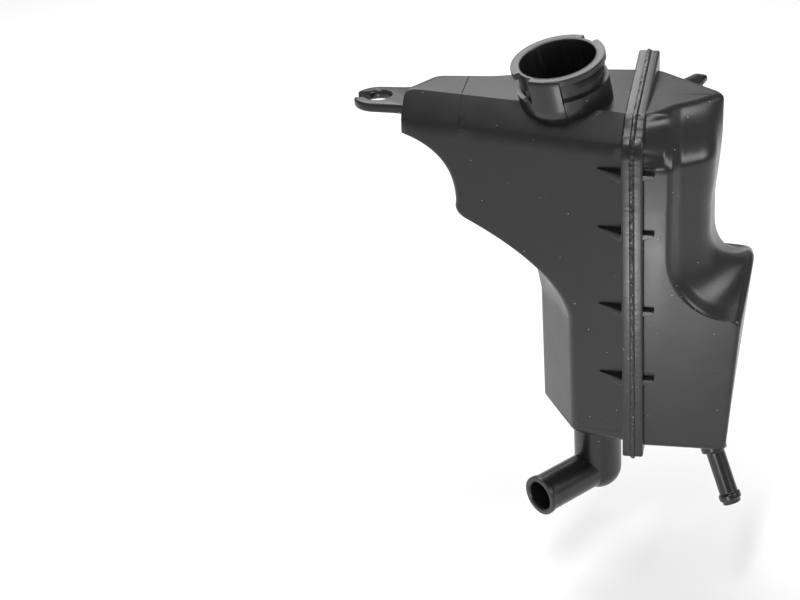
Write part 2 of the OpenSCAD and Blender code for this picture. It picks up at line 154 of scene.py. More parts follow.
def placed(points, spot, x_turn=0.0, y_turn=0.0, z_turn=0.0):
    """Points turned about X, then Y, then Z (degrees), then moved to spot."""
    a, b, c = np.radians([x_turn, y_turn, z_turn])
    rx = np.array([[1, 0, 0], [0, np.cos(a), -np.sin(a)], [0, np.sin(a), np.cos(a)]])
    ry = np.array([[np.cos(b), 0, np.sin(b)], [0, 1, 0], [-np.sin(b), 0, np.cos(b)]])
    rz = np.array([[np.cos(c), -np.sin(c), 0], [np.sin(c), np.cos(c), 0], [0, 0, 1]])
    return np.asarray(points) @ (rz @ ry @ rx).T + np.array(spot, float)


def turned(profile, steps=96):
    """Profile of (radius, height) turned about Z: the point (r cos t, r sin t, h)."""
    r, h = np.array(profile, float).T
    t = np.linspace(0, 2 * math.pi, steps, endpoint=False)
    return np.stack([r[:, None] * np.cos(t), r[:, None] * np.sin(t), np.tile(h[:, None], steps)], -1)


def filleted(profile, radii, steps=6):
    """A line of points with each inner corner i swept round over radii[i]."""
    points = [np.array(profile[0], float)]
    t = np.linspace(0, 1, steps + 1)[:, None]
    for i in range(1, len(profile) - 1):
        b = np.array(profile[i], float)
        before, after = np.array(profile[i - 1]) - b, np.array(profile[i + 1]) - b
        p = b + before / np.linalg.norm(before) * radii[i]
        q = b + after / np.linalg.norm(after) * radii[i]
        points.extend(p * (1 - t) ** 2 + 2 * b * t * (1 - t) + q * t**2 if radii[i] > 0 else [b])
    points.append(np.array(profile[-1], float))
    return np.array(points)


SHARP_DEGREES = 30


def unite(name, parts, cutters, material):
    """One moulding: parts melted together, cutters taken away, then smooth except over sharp edges."""
    base = parts[0]
    for other, work in [(p, "UNION") for p in parts[1:]] + [(c, "DIFFERENCE") for c in cutters]:
        step = base.modifiers.new(other.name, "BOOLEAN")
        step.operation, step.solver, step.object = work, "MANIFOLD", other
    graph = bpy.context.evaluated_depsgraph_get()
    mesh = bpy.data.meshes.new_from_object(base.evaluated_get(graph))
    mesh.name = name
    for old in parts + cutters:
        bpy.data.objects.remove(old)
    mesh.shade_smooth()
    mesh.set_sharp_from_angle(angle=math.radians(SHARP_DEGREES))
    mesh.materials.clear()
    mesh.materials.append(material)
    piece = bpy.data.objects.new(name, mesh)
    bpy.context.scene.collection.objects.link(piece)
    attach(piece, "root")
    print(name, len(mesh.vertices), "points", len(mesh.polygons), "faces")
    return piece


print("mesh helpers ready, edges sharp over", SHARP_DEGREES, "degrees")

# %% [markdown]
# ## The tank halves
# The walls are nearly flat and taper a little, with rounded edges. Each half is a stack of level
# outlines. An outline has a few corners. Every wall is first moved in, for the rounding at the
# roof and the floor, and then the corners are swept round.

# %% Outlines, insets and rounded corners
TANK_H, FRONT_Y, BACK_Y, WALL, FLOOR_Z = 187.0, 38.0, 36.0, 2.6, 5.0
BROW_H, BROW_RUN, ARM_BROW_RUN, BROW_POWER = 13.0, 13.5, 12.0, 1.3
EDGE_R, EDGE_LOSS_SHARE, BACK_SWELL, OVERRUN = 3.4, 0.6, 3.5, 1.0
CAP_SHARE, FRONT_BAND = 0.05, 14.0


def share(value, low, high):
    """How far value is from low to high, kept from 0 to 1."""
    return np.clip((value - low) / (high - low), 0, 1)


def eased(t):
    """3t^2 - 2t^3: starts and ends level."""
    return t * t * (3 - 2 * t)


def mixed(a, b, t):
    """a at t = 0, b at t = 1."""
    return a + (b - a) * t


def inset(plans, amounts):
    """plans[level, corner, xy] with wall i after corner i moved in by amounts[level, i].
    The new corner solves m.p = dm and k.p = dk for the inward normals m and k of its two walls."""
    after = np.roll(plans, -1, 1) - plans
    k = np.stack([-after[..., 1], after[..., 0]], -1)
    k /= np.linalg.norm(k, axis=-1, keepdims=True)
    m, dk, dm = np.roll(k, 1, 1), amounts, np.roll(amounts, 1, 1)
    det = m[..., 0] * k[..., 1] - m[..., 1] * k[..., 0]
    flat = np.abs(det)[..., None] < 0.02
    step = np.stack([dm * k[..., 1] - dk * m[..., 1], dk * m[..., 0] - dm * k[..., 0]], -1)
    return plans + np.where(flat, m * dm[..., None], step / np.where(flat, 1, det[..., None]))


def rounded(corners, radii, arc_points=12, wall_points=22):
    """Rings through corners[level, corner, xyz]: each corner is the curve p(1-t)^2 + 2bt(1-t) + qt^2
    between the points at its radius before and after it, and the walls between get even points."""
    t = np.linspace(0, 1, arc_points)[None, :, None]
    u = np.linspace(0, 1, wall_points, endpoint=False)[None, 1:, None]
    count, ends, rings = corners.shape[1], [], []
    for i in range(count):
        b = corners[:, i]
        before, after = corners[:, i - 1] - b, corners[:, (i + 1) % count] - b
        p = b + before / np.linalg.norm(before, axis=-1, keepdims=True) * radii[i]
        q = b + after / np.linalg.norm(after, axis=-1, keepdims=True) * radii[i]
        ends.append((p[:, None], b[:, None], q[:, None]))
    for i, (p, b, q) in enumerate(ends):
        rings.append(p * (1 - t) ** 2 + 2 * b * t * (1 - t) + q * t**2 if radii[i] > 0 else b)
        rings.append(mixed(q, ends[(i + 1) % count][0], u))
    return np.concatenate(rings, 1)


def edge_radius(depth):
    """Radius of the rounded edges of the skin that lies depth inside: it shrinks slower than depth grows."""
    return EDGE_R - EDGE_LOSS_SHARE * depth


def quarter_in(past, radius):
    """Inset r - sqrt(r^2 - h^2) of a quarter round at h past its start, for 0 < h < r."""
    return radius - np.sqrt(np.maximum(radius**2 - np.clip(past, 0, radius) ** 2, 0))


def roof_in(z, depth, radius):
    """How far a wall draws in under the roof of the skin that lies depth inside."""
    return quarter_in(z - (TANK_H - depth - radius), radius)


def brow_in(z, depth, run):
    """How far the front draws in under the roof: run * t^1.3, so it bends off softly from the wall
    and meets the roof in a crisp line."""
    t = share(z, TANK_H - BROW_H, TANK_H - depth)
    return (run - depth) * t**BROW_POWER


def floor_in(z, floor, radius):
    """How far a wall draws in above a floor."""
    return quarter_in(floor + radius - z, radius)


def swept(a, c, b, steps=26):
    """Points of the curve a(1-t)^2 + 2ct(1-t) + bt^2 without its first."""
    t = np.linspace(0, 1, steps + 1)[1:, None]
    return np.array(a) * (1 - t) ** 2 + 2 * np.array(c) * t * (1 - t) + np.array(b) * t**2


def shifted(profile, depth):
    """A [reach, height] profile moved inwards by depth, by the mean normal of both stretches."""
    step = np.diff(profile, axis=0)
    normal = np.stack([-step[:, 1], step[:, 0]], -1) / np.linalg.norm(step, axis=1)[:, None]
    m, k = normal[:-1], normal[1:]
    return profile[1:-1] + depth * (m + k) / (1 + (m * k).sum(1))[:, None]


def edge_levels(radius, steps=7):
    """Heights at even angles of a quarter round, from nought to radius."""
    return radius * (1 - np.cos(np.linspace(0, math.pi / 2, steps)))


def dished(rings, amount, middle, spread):
    """Walls are never quite flat. Each point moves along Y by amount * exp(-d^2 / 2), d being its
    distance in x and z from middle, measured in spreads."""
    d = (rings[..., 0] - middle[0]) ** 2 / spread[0] ** 2 + (rings[..., 2] - middle[1]) ** 2 / spread[1] ** 2
    front = share(-rings[..., 1], 0, FRONT_BAND)
    rings[..., 1] += amount * front * np.exp(-d / 2)
    return rings


def capped(rings):
    """The rings with one more inside each end, ring + CAP_SHARE * (middle - ring), so that a roof
    shades flat right up to its edge."""
    low, high = (ring + CAP_SHARE * (ring.mean(0) - ring) for ring in (rings[0], rings[-1]))
    return np.concatenate([low[None], rings, high[None]])


print("outline helpers ready")

# %% [markdown]
# The hook half hangs over like a boot turned upside down: a narrow shin below, a hollow curve out
# to the knee, and a second one out to the arm. Its far end is slanted in plan. Its outline has six
# corners: two at the open side, two bends in the back wall, and the two corners of the far end.

# %% Hook half
SHIN, KNEE, ARM, KNEE_R = (33.0, 74.0), (95.0, 127.0), (121.0, 167.0), 5.0
KNEE_LOW_SHARE, KNEE_HIGH_SHARE, HOLLOW_SHARES = 0.58, 0.3, (0.5, 0.8)
SHIN_SLANT, ARM_SLANT, FRONT_SLANT, BEND_R = 22.0, 13.0, 0.21, 6.0
# Each pair below is at the shin and at the roof: shares of the arm's reach, then of the back's place.
NEAR_BEND_SHARES, FAR_BEND_SHARES = ((0.1, 0.35), (0.88, 0.93)), ((0.215, 0.63), (0.7, 0.58))
# The far end's back corner, as shares of the back's place at the shin, the knee and the roof.
END_SHARES = (0.14, 0.08, 0.57)
HOOK_DISH = (0.7, (-52, 135), (30, 34))


def hook_profile(depth):
    """The end wall as [reach, height] points: shin, low hollow, knee, high hollow, arm."""
    low = (KNEE[0] - KNEE_R, KNEE[1] - KNEE_LOW_SHARE * KNEE_R)
    high = (KNEE[0] - KNEE_HIGH_SHARE * KNEE_R, KNEE[1] + KNEE_R)
    curve = np.vstack([
        np.linspace((SHIN[0], FLOOR_Z), SHIN, 18),
        swept(SHIN, (SHIN[0] + KNEE_R, mixed(SHIN[1], KNEE[1], HOLLOW_SHARES[0])), low, 34),
        swept(low, KNEE, high, 10),
        swept(high, (KNEE[0] - KNEE_R / 2, mixed(KNEE[1], ARM[1], HOLLOW_SHARES[1])), ARM, 28),
        (ARM[0], TANK_H)])
    brow, gap = BROW_H - depth, 0.5
    bottom = FLOOR_Z + depth + edge_levels(edge_radius(depth))
    top = TANK_H - depth - edge_levels(brow, 12)[::-1]
    inner = shifted(curve, depth)
    inner = inner[(inner[:, 1] > bottom[-1] + gap) & (inner[:, 1] < top[0] - gap)]
    return np.vstack([
        np.stack([np.full_like(bottom, SHIN[0] - depth), bottom], -1), inner,
        np.stack([np.full_like(top, ARM[0] - depth), top], -1)])


def hook_tank(name, depth):
    """Rings of the hook half, depth inside its outer skin."""
    reach, z = hook_profile(depth).T
    open_x = np.full_like(z, OVERRUN if depth else 0.0)
    t = eased(share(z, SHIN[1], TANK_H))
    back = BACK_Y + BACK_SWELL * t
    knee_t, arm_t = share(z, SHIN[1], KNEE[1]), share(z, KNEE[1], TANK_H)
    below = z < KNEE[1]
    slant_in = np.where(below, -SHIN_SLANT * (1 - eased(knee_t)), ARM_SLANT * share(z, ARM[1], TANK_H))
    at_shin, at_knee, at_roof = END_SHARES
    end_y = BACK_Y * np.where(below, mixed(at_shin, at_knee, knee_t), mixed(at_knee, at_roof, eased(arm_t)))
    bends = [np.stack([-mixed(*x_shares, t) * ARM[0], mixed(*y_shares, t) * back], -1)
             for x_shares, y_shares in (NEAR_BEND_SHARES, FAR_BEND_SHARES)]
    plans = np.stack([
        np.stack([open_x, BACK_Y + BACK_SWELL * share(z, SHIN[1], TANK_H)], -1), *bends,
        np.stack([slant_in - reach, end_y], -1),
        np.stack([-reach, FRONT_SLANT * reach - FRONT_Y + brow_in(z, depth, ARM_BROW_RUN)], -1),
        np.stack([open_x, brow_in(z, depth, BROW_RUN) - FRONT_Y], -1)], 1)
    edge = edge_radius(depth)
    low_in = floor_in(z, FLOOR_Z + depth, edge)
    side = roof_in(z, depth, edge) + low_in
    plans = inset(plans, np.stack([side + depth] * 3 + [side, low_in + depth, 0 * z], 1))
    corners = np.concatenate([plans, np.broadcast_to(z[:, None, None], (*plans.shape[:2], 1))], -1)
    rings = rounded(corners, [0, BEND_R, BEND_R, EDGE_R, EDGE_R, 0])
    return closed_mesh(name, capped(dished(rings, *HOOK_DISH)))


hook_skin, hook_hollow = hook_tank("hook half", 0.0), hook_tank("hook hollow", WALL)
print("hook half", len(hook_skin.data.polygons), "faces")

# %% [markdown]
# The peg half is a tapered box below and a slim tower above. Four of its corners travel from the
# box to the tower, each along its own curve, so the box's roof sweeps up into the front panel and
# the recess beside it. Over the last stretch the corners move back to the crown's slanted top.

# %% Peg half
BOX_FLOOR, BOX_REACH, BOX_FLARE, BOX_Z, BOX_FALL, STEP_D = 3.5, 48.0, 11.5, 103.0, 21.0, 7.0
# The tower carries a block that stands out by a little step, and the crown starts above it.
BLOCK_Z, BLOCK_STEP, STEP_RUN, CROWN_Z = 149.0, 0.3, 9.0, 162.0
# Each row or number below belongs to one travelling corner, from the front to the back.
BOX_YS = np.array([-FRONT_Y, STEP_D - FRONT_Y, 0, 26.0])
FALL_SHARES, FLARE_SHARES = (1, 0.86, 0, 0.45), (0.72, 0.78, 1, 0.92)
TOWER = np.array([[18.5, -38], [22.5, -31], [36.75, -21], [38, 9.0]])
CROWN_MOVES = np.array([[-4, 21], [-1.7, 21], [-8.25, 19], [0, 0.0]])
CURVE_H, SCOOPED, WIDENING = (34.0, 32.0, 20.0, 27.0), np.array([0, 1, 1, 0.0]), np.array([0, 0, 3.0, 4.5])
WIDER_FROM, WIDER_TO, BACK_CORNER_R, RECESS_R = 135, 182, 5.0, 8.0
BOX_BACK_CORNER, TOWER_BACK_CORNER = np.array([20.0, 30]), np.array([7.0, 39])
# A shallow ledge runs across the crown's front, beside the flange, with a swell above it.
LEDGE_Z, LEDGE_D, SWELL_D, LEDGE_XS, LEDGE_YS = 165.0, 1.2, 1.5, (15, 18), (10, 20)
PEG_DISH = (-0.7, (13, 118), (9, 30))


def peg_path(depth, fall, flare, narrow, rise):
    """[reach, height] points of one travelling corner, and the share of its travel at each."""
    edge, brow = edge_radius(depth), BROW_H - depth
    top = BOX_Z - BOX_FALL * fall
    floor = BOX_FLOOR + depth + edge_levels(edge)

    def box_x(z):
        return BOX_REACH + BOX_FLARE * flare * share(z, 0, BOX_Z)

    start = box_x(top - EDGE_R)
    wall = np.linspace(BOX_FLOOR + depth + edge + 1, top - EDGE_R, 14)
    a = np.radians(np.linspace(0, 90, 9))[1:]
    sweep = np.radians(np.linspace(0, 90, 28))[1:]
    tower = np.linspace(top + rise, BLOCK_Z - STEP_RUN - 3, 10)[1:]
    step = np.linspace(BLOCK_Z - STEP_RUN - 2, BLOCK_Z, 10)
    crown = np.linspace(BLOCK_Z + 1.5, TANK_H - BROW_H - 1, 22)
    curve = np.vstack([
        (BOX_REACH, BOX_FLOOR),
        np.stack([box_x(wall), wall], -1),
        np.stack([start - EDGE_R * (1 - np.cos(a)), top - EDGE_R + EDGE_R * np.sin(a)], -1),
        np.stack([mixed(start - EDGE_R, narrow, np.sin(sweep)), top + rise * (1 - np.cos(sweep))], -1),
        np.stack([np.full_like(tower, narrow), tower], -1),
        np.stack([narrow + BLOCK_STEP * eased(share(step, BLOCK_Z - STEP_RUN, BLOCK_Z)), step], -1),
        np.stack([np.full_like(crown, narrow + BLOCK_STEP), crown], -1),
        (narrow + BLOCK_STEP, TANK_H)])
    roof = TANK_H - depth - edge_levels(brow, 12)[::-1]
    path = np.vstack([
        np.stack([box_x(floor) - depth, floor], -1), shifted(curve, depth),
        np.stack([np.full_like(roof, narrow + BLOCK_STEP - depth), roof], -1)])
    still = len(floor) + len(wall) + len(a)
    travel = np.concatenate([np.zeros(still), np.sin(sweep), np.ones(len(path) - still - len(sweep))])
    return path, travel


def peg_tank(name, depth):
    """Rings of the peg half, depth inside its outer skin."""
    corners = zip(FALL_SHARES, FLARE_SHARES, TOWER[:, 0], CURVE_H)
    paths, travels = zip(*[peg_path(depth, *corner) for corner in corners])
    path, u = np.stack(paths, 1), travels[0]
    first, z = path[:, 0, 1], path[:, 3, 1]
    crown, edge = eased(share(first, CROWN_Z, TANK_H)), edge_radius(depth)
    low_in = floor_in(z, BOX_FLOOR + depth, edge)
    side = roof_in(z, depth, edge) + low_in
    open_x = np.full_like(z, -OVERRUN if depth else 0.0)
    y = mixed(BOX_YS, TOWER[:, 1], u[:, None]) + SCOOPED * (depth * u * (1 - crown))[:, None]
    moving = np.stack([path[..., 0], y], -1) + crown[:, None, None] * CROWN_MOVES
    moving[..., 0] += WIDENING * share(first, WIDER_FROM, WIDER_TO)[:, None]
    back_corner = mixed(BOX_BACK_CORNER, TOWER_BACK_CORNER, u[:, None])
    plans = np.concatenate([
        np.stack([open_x, BACK_Y + BACK_SWELL * u], -1)[:, None],
        np.stack([open_x, brow_in(z, depth, BROW_RUN) - FRONT_Y], -1)[:, None],
        moving, back_corner[:, None]], 1)
    plans = inset(plans, np.stack([0 * z, low_in + depth, side, side, side, side + depth, side + depth], 1))
    lift = np.stack([z, first, first, path[:, 1, 1], path[:, 2, 1], z, z], 1)
    radii = [0, 0, 0.7 * edge, 0.5 * edge, RECESS_R - depth, BACK_CORNER_R - depth, edge]
    rings = rounded(np.concatenate([plans, lift[..., None]], -1), radii)
    ledge = eased(share(rings[..., 2], LEDGE_Z - 1, LEDGE_Z + 1)) * (1 - share(rings[..., 0], *LEDGE_XS))
    swell = np.sin(2 * math.pi * share(rings[..., 2], LEDGE_Z + 3, TANK_H - 2))
    rings[..., 1] -= (LEDGE_D + SWELL_D * swell) * ledge * share(-rings[..., 1], *LEDGE_YS)
    return closed_mesh(name, capped(dished(rings, *PEG_DISH)))


peg_skin, peg_hollow = peg_tank("peg half", 0.0), peg_tank("peg hollow", WALL)
print("peg half", len(peg_skin.data.polygons), "faces")

# %% [markdown]
# ## The weld flange
# Both halves carry a flat lip. A hot plate melts the faces and they are pressed together, so a
# rough bead wells out all round between them. Its height wanders by a few tenths of a millimetre.

# %% Flange halves with the welded bead
LIP_T, LIP_PROUD, LIP_EDGE, BEAD_T, BEAD_D, BEAD_DIP = 5.4, 4.5, 1.1, 1.2, 0.9, 0.3
FRONT_LIP, BACK_LIP = -FRONT_Y - LIP_PROUD, BACK_Y + LIP_PROUD
PEAK_RISE, JOG_FALL, JOG_H, WAVE_RUN, WAVE_DROP = 8.5, 24.0, 7.0, 18.5, 15.5
# How far the bead's roughness reaches over the rings, from the weld plane to the outer edge.
ROUGH_SHARES, ROUGH_WAVES = np.array([0.25, 0.35, 0.25, 0.05, 0, 0, 0, 0, 0]), 260
# The front edge's wave below the peak, as shares of WAVE_RUN and WAVE_DROP.
WAVE = np.array([[0, 0], [0.04, 0.25], [0.13, 0.46], [0.26, 0.58], [0.42, 0.64], [0.56, 0.71], [0.69, 0.82],
                 [0.83, 0.94], [1, 1]])


def flange_line(spacing=0.5):
    """The lip's outline as even [y, z] points, counter-clockwise, its corners eased by averaging."""
    wave = np.array([FRONT_LIP, TANK_H - WAVE_DROP]) + WAVE * (WAVE_RUN, WAVE_DROP)
    top, jog = BACK_LIP + BACK_SWELL, TANK_H - JOG_FALL
    line = np.vstack([
        (FRONT_LIP, 0), (BACK_LIP, 0), (BACK_LIP, jog), (top, jog + JOG_H), (top, TANK_H + PEAK_RISE),
        wave[::-1], (FRONT_LIP, 0)])
    along = np.concatenate([[0], np.cumsum(np.linalg.norm(np.diff(line, axis=0), axis=1))])
    even = np.arange(0, along[-1], spacing)
    points = np.stack([np.interp(even, along, line[:, q]) for q in (0, 1)], -1)
    for _ in range(6):
        points = (np.roll(points, 1, 0) + 2 * points + np.roll(points, -1, 0)) / 4
    return points


def ragged(count, waves, seed):
    """A closed line of heights: the sum of sin(k t + p) / sqrt(k) over random phases p, over three."""
    rng = np.random.default_rng(seed)
    k, p = np.arange(3, waves), rng.uniform(0, 2 * math.pi, waves - 3)
    t = np.linspace(0, 2 * math.pi, count, endpoint=False)
    return (np.sin(k * t[:, None] + p) / np.sqrt(k)).sum(1) / 3


def flange(name, side, seed):
    """Rings across one half's thickness: proud bead, face, and a rounded outer edge."""
    line = flange_line()
    step = np.roll(line, -1, 0) - np.roll(line, 1, 0)
    outward = np.stack([step[:, 1], -step[:, 0]], -1) / np.linalg.norm(step, axis=1)[:, None]
    rough = ragged(len(line), ROUGH_WAVES, seed)
    a = np.radians([0, 22, 45, 67, 90])
    x = np.concatenate([[0, 0.5, BEAD_T - 0.1, BEAD_T + 0.15], LIP_T - LIP_EDGE + LIP_EDGE * np.sin(a)])
    out = np.concatenate([[BEAD_D, BEAD_D, BEAD_D * 0.6, 0], LIP_EDGE * (np.cos(a) - 1)])
    amount = out[:, None] + np.maximum(ROUGH_SHARES[:, None] * rough, -BEAD_DIP)
    yz = line + outward * amount[..., None]
    grid = np.concatenate([np.broadcast_to(side * x[:, None, None], (*amount.shape, 1)), yz], -1)
    return closed_mesh(name, grid)


hook_lip, peg_lip = flange("hook lip", -1, 5), flange("peg lip", 1, 8)
print("flange outline", len(flange_line()), "points")

# %% [markdown]
# Four thin webs stiffen the lip on each side. Each is a wedge with its flat side up, deepest at the
# lip. It is four rows of four corners, the outer rows drawn in a little for a soft edge.

# %% Webs, as wedges
WEB_SHARES, WEB_TOP, WEB_INSET, WEB_SOFT, WEB_THIN_SHARE = (0.24, 0.455, 0.685, 0.855), 2.2, 0.8, 0.35, 0.25


def wedge(name, side, height, run, square_run, depth):
    """A web at one height: level top, and an underside that rises towards its thin end."""
    plan = np.array([[LIP_T - 1, FRONT_LIP + WEB_INSET], [LIP_T + square_run, FRONT_LIP + WEB_INSET],
                     [LIP_T + run, 3 - FRONT_Y], [LIP_T - 1, 3 - FRONT_Y]])
    thin = share(plan[:, 0], LIP_T, LIP_T + max(run, 1))
    rows = []
    for level, pull in ((1.0, WEB_SOFT), (0.85, 0.0), (0.15, 0.0), (0.0, WEB_SOFT)):
        z = height + WEB_TOP - (1 - level) * mixed(depth, depth * WEB_THIN_SHARE, thin)
        y = plan[:, 1] + pull * np.array([1, 1, 0, 0])
        rows.append(np.stack([side * plan[:, 0], y, z], -1))
    return closed_mesh(name, np.array(rows))


hook_webs = [wedge(f"hook web {i}", -1, s * TANK_H, 13.0, 0.4, 4.6) for i, s in enumerate(WEB_SHARES)]
peg_webs = [wedge(f"peg web {i}", 1, s * TANK_H, 6.0, 5.0, 3.4) for i, s in enumerate(WEB_SHARES)]
print(len(hook_webs) + len(peg_webs), "webs")

# %% [markdown]
# ## Filler neck
# The cap is a quarter-turn one: it slides through the two gaps in the neck's lip and hooks under
# it. One tall pad at the front stops the turn. The wall's outer radius is a function of angle and
# height, so the lip, its gaps and the pad are all one grid.

# %% Neck wall over angle and height
NECK_PLACE = ((-40.0, -9.5, TANK_H + 22), 9.0, -9.0)
BORE_R, LUG_R, TUBE_R, BASE_R, PAD_R, WINDOW_R = 19.0, 23.8, 21.0, 23.2, 24.3, 20.0
# Angles in degrees round the neck: the two lips, and the pad and the window beside it.
BACK_LIP_DEG, RIGHT_LIP_DEG, PAD_DEG, WINDOW_DEG = (62, 210), (239, 400), (239, 278), (222, 239)
# Depths under the rim: the feet of the lip and of the band on the right, the collar's top, the foot
# of the window, and where the neck's own foot is drawn in.
LIP_FOOT, BAND_FOOT, COLLAR_TOP, WINDOW_FOOT, FOOT_FROM, FOOT_TO = 3.4, 8.1, 12.5, 13.0, 19, 27
BAND_RS, FOOT_DRAW, PAD_DRAW = (22.3, 22.9), 3.6, 4.4


def rise(value, at, width):
    """0 below at, 1 above it, over a short eased step."""
    return eased(share(value, at - width / 2, at + width / 2))


def between(angle, ends, width=0.9):
    """1 between two angles in degrees."""
    return rise(angle, ends[0], width) * (1 - rise(angle, ends[1], width))


def neck_grid():
    """Columns run up the bore, over the rim and down the outside; rows run round the neck, with more
    of them where a lip or the pad ends."""
    ends = sorted({*BACK_LIP_DEG, *PAD_DEG})
    angles = np.unique(np.round(np.concatenate(
        [np.linspace(40, 400, 181)[:-1]] + [end + np.array([-0.5, -0.25, 0, 0.25, 0.5]) for end in ends]
        + [np.array([40.25, 40.5, 399.5, 399.75])]), 3))
    drops = np.array([0.5, 1.2, 2.9, 3.25, 3.5, 3.9, 6.5, 7.8, 8.1, 8.5, 12.2, 12.4, 12.7, 13.3,
                      16, 19, 22, 25, 28, 32])
    th, h = angles[:, None], -drops[None, :]
    right_lip, pad = between(th, RIGHT_LIP_DEG), between(th, PAD_DEG)
    lips = np.maximum(between(th, BACK_LIP_DEG), right_lip)
    foot = share(-h, FOOT_FROM, FOOT_TO)
    radius = mixed(BASE_R, TUBE_R, rise(h, -COLLAR_TOP, 0.4))
    band = right_lip * rise(h, -BAND_FOOT, 0.5)
    radius = mixed(radius, mixed(*BAND_RS, share(h, -8, -LIP_FOOT)), band)
    radius = mixed(radius, LUG_R, lips * rise(h, -LIP_FOOT, 0.4))
    window = between(th, WINDOW_DEG) * rise(h, -WINDOW_FOOT, 0.3) * (1 - rise(h, -8.3, 0.3))
    radius = mixed(radius, WINDOW_R, window)
    radius = radius - FOOT_DRAW * foot * share(np.cos(np.radians(th - 270)), 0.3, 0.9)
    radius = mixed(radius, PAD_R - PAD_DRAW * foot, pad * (1 - rise(h, -0.5, 0.3)))
    outer_top = mixed(TUBE_R, LUG_R, lips[:, 0])
    columns = [(BORE_R, -32.0), (BORE_R, -12.0), (BORE_R, -0.9), (BORE_R + 0.25, -0.3), (BORE_R + 0.8, 0.0)]
    r = [np.full_like(angles, c[0]) for c in columns] + [outer_top - 0.7, outer_top - 0.15]
    z = [np.full_like(angles, c[1]) for c in columns] + [0 * angles, 0 * angles - 0.15]
    r = np.concatenate([np.stack(r, 1), radius], 1)
    z = np.concatenate([np.stack(z, 1), np.broadcast_to(h, radius.shape)], 1)
    t = np.radians(th)
    return placed(np.stack([r * np.cos(t), r * np.sin(t), z], -1), *NECK_PLACE)


neck = closed_mesh("neck", neck_grid(), closed_rows=True)
neck_bore = closed_mesh("neck bore", placed(turned([(BORE_R, -38), (BORE_R, 1.0)], 180), *NECK_PLACE))
print("neck", len(neck.data.polygons), "faces")

# %% [markdown]
# ## Hook
# The hook snaps over a post on the car's body. Its plate is a stack of level outlines. The eye is cut
# by a waisted tool, so its edges come out rounded, and the mouth by a wedge.

# %% Hook plate
EYE, EYE_R, HOOK_R, HOOK_T, HOOK_Z, HOOK_EDGE = (-136.0, 6.0), 6.5, 12.4, 5.0, 175.0, 1.4
# The tail's corners: how far past the eye, and how far beyond the disc's half width.
TAIL = np.array([[12, -0.4], [21, -2.0], [21, 2.2], [12, 0.4]])
WAIST = [(1.6, -1), (1.0, 0.0), (0.25, 0.7), (0, 1.5), (0, 3.5), (0.25, 4.3), (1.0, 5.0), (1.6, 6)]
MOUTH = np.array([[-30, -5.2], [0, -3.6], [0, 3.6], [-30, 5.2]])
FIN = np.array([[7, 6.3], [16, 6.3], [16, 9.6], [7, 9.6]])


def rounded_levels(low, high, edge, steps=5):
    """Heights and insets of a plate whose lower and upper edges are quarter rounds."""
    a = np.radians(np.linspace(0, 90, steps))
    z = np.concatenate([low + edge * (1 - np.cos(a)), high - edge * (1 - np.cos(a[::-1]))])
    return z, np.concatenate([edge * (1 - np.sin(a)), edge * (1 - np.sin(a[::-1]))])


def hook_plate():
    """A half disc round the eye that widens into the arm's end."""
    t = np.radians(np.linspace(90, 270, 49))
    disc = np.stack([EYE[0] + HOOK_R * np.cos(t), EYE[1] + HOOK_R * np.sin(t)], -1)
    line = np.vstack([disc, TAIL + EYE + np.sign(TAIL) * (0, HOOK_R)])
    middle = np.array(EYE) + (4, 0)
    z, pull = rounded_levels(HOOK_Z, HOOK_Z + HOOK_T, HOOK_EDGE)
    out = line - middle
    far = np.linalg.norm(out, axis=1)[:, None]
    plan = middle + out[None] * (1 - pull[:, None, None] / far)
    return np.concatenate([plan, np.broadcast_to(z[:, None, None], (*plan.shape[:2], 1))], -1)


hook_part = closed_mesh("hook plate", hook_plate())
waist = [(EYE_R + wider, h) for wider, h in WAIST]
eye_cut = closed_mesh("eye cut", placed(turned(waist, 72), (*EYE, HOOK_Z)))
mouth_cut = closed_mesh("mouth cut", np.array([
    np.column_stack([MOUTH + EYE, np.full(4, HOOK_Z + h)]) for h in (-2, 7)]))
fin_part = closed_mesh("hook fin", np.array([
    np.column_stack([FIN + EYE + (FIN[:, :1] < 10) * (lift, 0), np.full(4, HOOK_Z + h)])
    for h, lift in ((-8, 5.0), (-7.4, 4.2), (-1, 0.6), (1, 0))]))
print("hook", len(hook_part.data.polygons), "faces before its eye is cut")

# %% [markdown]
# ## Suction elbow
# Fluid leaves through a stub under the tank, which turns into a level pipe with a raised lip that
# grips the hose. Both are turned profiles, and a ball fills the corner, outside and inside.

# %% Suction elbow
ELBOW_AT, PIPE_TURN, PIPE_LEN, PIPE_LIP = (-23.5, -5.5, -31.0), 231.0, 44.0, 0.7
STUB_R, STUB_BORE_R, PIPE_R, PIPE_BORE_R, STUB_TOP = 13.0, 10.6, 10.4, 8.0, 37.3
PIPE_PLACE = (ELBOW_AT, 0, 90, PIPE_TURN)


def ball(radius, rings=28):
    """(radius, height) profile of a ball, from near its foot to near its top."""
    a = np.radians(np.linspace(-89, 89, rings))
    return np.stack([radius * np.cos(a), radius * np.sin(a)], -1)


